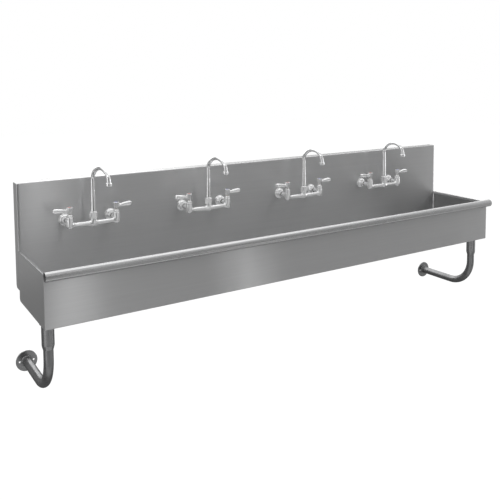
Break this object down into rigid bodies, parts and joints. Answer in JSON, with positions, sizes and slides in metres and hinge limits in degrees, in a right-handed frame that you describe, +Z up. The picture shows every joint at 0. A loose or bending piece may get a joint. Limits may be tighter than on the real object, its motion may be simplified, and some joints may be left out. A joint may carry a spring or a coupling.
{
  "type": "wall-hung trough sink",
  "caption": "Long stainless trough sink hung on a wall, with a high backsplash, a rolled front rim, gooseneck wall faucets with lever handles and bent tube supports.",
  "frame": {"origin": "centre of the wall hanger's back face, on the wall", "axes": "+X along the sink to the viewer's right, +Y back to the wall, +Z up"},
  "size_m": [2.467, 0.4684, 0.8765],
  "materials": {
    "stainless_sheet": "satin stainless sheet, grain along the length",
    "hanger_steel": "mill finish stainless strip",
    "support_steel": "smooth dark satin steel",
    "drain_steel": "turned stainless",
    "chrome": "polished chrome plate",
    "brass": "machined brass",
    "rubber": "matt black rubber",
    "screw_steel": "black oxide steel",
    "hot_red": "glossy red plastic",
    "cold_blue": "glossy blue plastic"
  },
  "bodies": {
    "sink": {"back_panel": "stainless_sheet", "trough_pan": "stainless_sheet", "left_end_panel": "stainless_sheet", "right_end_panel": "stainless_sheet", "wall_hanger": "hanger_steel", "hanger_cleat": "hanger_steel", "drain_body": "drain_steel", "drain_strainer": "drain_steel", "drain_gasket": "rubber", "drain_locknut": "brass", "left_support_socket": "support_steel", "right_support_socket": "support_steel", "left_support_tube": "support_steel", "right_support_tube": "support_steel", "left_wall_flange": "support_steel", "right_wall_flange": "support_steel", "socket_set_screws": "screw_steel", "supply_nipples": "brass", "supply_locknuts": "brass", "wall_escutcheons": "chrome", "coupling_nuts": "chrome", "coupling_washers": "rubber", "valve_bonnets": "chrome", "spout_nuts": "chrome", "faucet_body_1": "chrome", "faucet_body_2": "chrome", "faucet_body_3": "chrome", "faucet_body_4": "chrome"},
    "spout_1": {"gooseneck_spout_1": "chrome", "aerator_1": "chrome"},
    "hot_lever_1": {"hot_handle_1": "chrome", "hot_stem_1": "brass", "hot_index_1": "hot_red"},
    "cold_lever_1": {"cold_handle_1": "chrome", "cold_stem_1": "brass", "cold_index_1": "cold_blue"},
    "spout_2": {"gooseneck_spout_2": "chrome", "aerator_2": "chrome"},
    "hot_lever_2": {"hot_handle_2": "chrome", "hot_stem_2": "brass", "hot_index_2": "hot_red"},
    "cold_lever_2": {"cold_handle_2": "chrome", "cold_stem_2": "brass", "cold_index_2": "cold_blue"},
    "spout_3": {"gooseneck_spout_3": "chrome", "aerator_3": "chrome"},
    "hot_lever_3": {"hot_handle_3": "chrome", "hot_stem_3": "brass", "hot_index_3": "hot_red"},
    "cold_lever_3": {"cold_handle_3": "chrome", "cold_stem_3": "brass", "cold_index_3": "cold_blue"},
    "spout_4": {"gooseneck_spout_4": "chrome", "aerator_4": "chrome"},
    "hot_lever_4": {"hot_handle_4": "chrome", "hot_stem_4": "brass", "hot_index_4": "hot_red"},
    "cold_lever_4": {"cold_handle_4": "chrome", "cold_stem_4": "brass", "cold_index_4": "cold_blue"}
  },
  "joints": [
    {"name": "spout_swivel_1", "type": "hinge", "parent": "sink", "child": "spout_1", "pos_m": [-0.923, -0.126, -0.108], "axis": [0, 0, 1], "range_deg": [-106, 74]},
    {"name": "hot_turn_1", "type": "hinge", "parent": "sink", "child": "hot_lever_1", "pos_m": [-1.0246, -0.126, -0.108], "axis": [0, 0, 1], "range_deg": [0, 90]},
    {"name": "cold_turn_1", "type": "hinge", "parent": "sink", "child": "cold_lever_1", "pos_m": [-0.8214, -0.126, -0.108], "axis": [0, 0, 1], "range_deg": [-90, 0]},
    {"name": "spout_swivel_2", "type": "hinge", "parent": "sink", "child": "spout_2", "pos_m": [-0.37, -0.126, -0.108], "axis": [0, 0, 1], "range_deg": [-106, 74]},
    {"name": "hot_turn_2", "type": "hinge", "parent": "sink", "child": "hot_lever_2", "pos_m": [-0.4716, -0.126, -0.108], "axis": [0, 0, 1], "range_deg": [0, 90]},
    {"name": "cold_turn_2", "type": "hinge", "parent": "sink", "child": "cold_lever_2", "pos_m": [-0.2684, -0.126, -0.108], "axis": [0, 0, 1], "range_deg": [-90, 0]},
    {"name": "spout_swivel_3", "type": "hinge", "parent": "sink", "child": "spout_3", "pos_m": [0.183, -0.126, -0.108], "axis": [0, 0, 1], "range_deg": [-106, 74]},
    {"name": "hot_turn_3", "type": "hinge", "parent": "sink", "child": "hot_lever_3", "pos_m": [0.0814, -0.126, -0.108], "axis": [0, 0, 1], "range_deg": [0, 90]},
    {"name": "cold_turn_3", "type": "hinge", "parent": "sink", "child": "cold_lever_3", "pos_m": [0.2846, -0.126, -0.108], "axis": [0, 0, 1], "range_deg": [-90, 0]},
    {"name": "spout_swivel_4", "type": "hinge", "parent": "sink", "child": "spout_4", "pos_m": [0.736, -0.126, -0.108], "axis": [0, 0, 1], "range_deg": [-106, 74]},
    {"name": "hot_turn_4", "type": "hinge", "parent": "sink", "child": "hot_lever_4", "pos_m": [0.6344, -0.126, -0.108], "axis": [0, 0, 1], "range_deg": [0, 90]},
    {"name": "cold_turn_4", "type": "hinge", "parent": "sink", "child": "cold_lever_4", "pos_m": [0.8376, -0.126, -0.108], "axis": [0, 0, 1], "range_deg": [-90, 0]}
  ]
}
